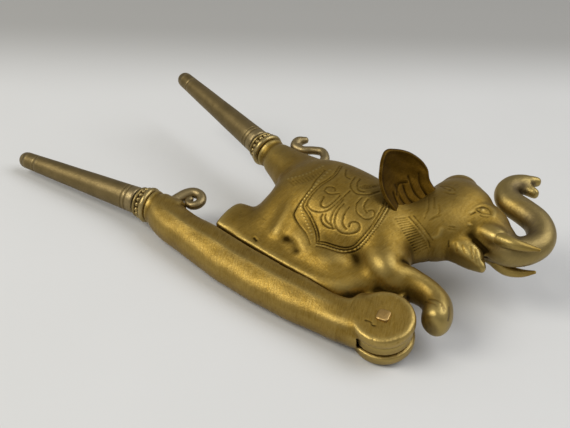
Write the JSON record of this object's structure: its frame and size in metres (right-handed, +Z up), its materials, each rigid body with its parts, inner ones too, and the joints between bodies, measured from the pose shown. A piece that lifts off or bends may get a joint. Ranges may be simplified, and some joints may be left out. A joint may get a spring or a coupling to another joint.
{
  "type": "nutcracker",
  "caption": "Cast brass nutcracker shaped as a kneeling elephant, two levers on one rivet, with turned handles.",
  "frame": {"origin": "centre of the footprint, on the table the nutcracker lies on", "axes": "+X along the lower lever from its handle to the elephant's trunk, +Y towards the elephant's back, +Z up, from the table"},
  "size_m": [0.2098, 0.0994, 0.0512],
  "materials": {
    "cast_brass": "aged satin, file marks",
    "turned_brass": "dull patina",
    "worn_wire_brass": "rubbed bright on top",
    "rivet_copper_brass": "filed",
    "steel_stud": "dull"
  },
  "bodies": {
    "lower_lever_body": {"lower_lever": "cast_brass", "pivot_rivet": "rivet_copper_brass", "lower_scroll": "cast_brass", "lower_handle_rod": "turned_brass", "lower_handle_stud": "steel_stud", "lower_collar_ring": "worn_wire_brass", "lower_collar_beads": "worn_wire_brass", "lower_ferrule_ring": "worn_wire_brass"},
    "elephant_lever_body": {"elephant_body": "cast_brass", "elephant_head": "cast_brass", "left_ear": "cast_brass", "right_ear": "cast_brass", "left_tusk": "cast_brass", "right_tusk": "cast_brass", "tail_curl": "cast_brass", "upper_handle_rod": "turned_brass", "upper_handle_stud": "steel_stud", "upper_collar_ring": "worn_wire_brass", "upper_collar_beads": "worn_wire_brass", "upper_ferrule_ring": "worn_wire_brass"}
  },
  "joints": [
    {"name": "lever_pivot", "type": "hinge", "parent": "lower_lever_body", "child": "elephant_lever_body", "pos_m": [0.069, -0.03728, 0.00991], "axis": [0.024, 0.3091, -0.9507], "range_deg": [-0.5, 40]}
  ]
}
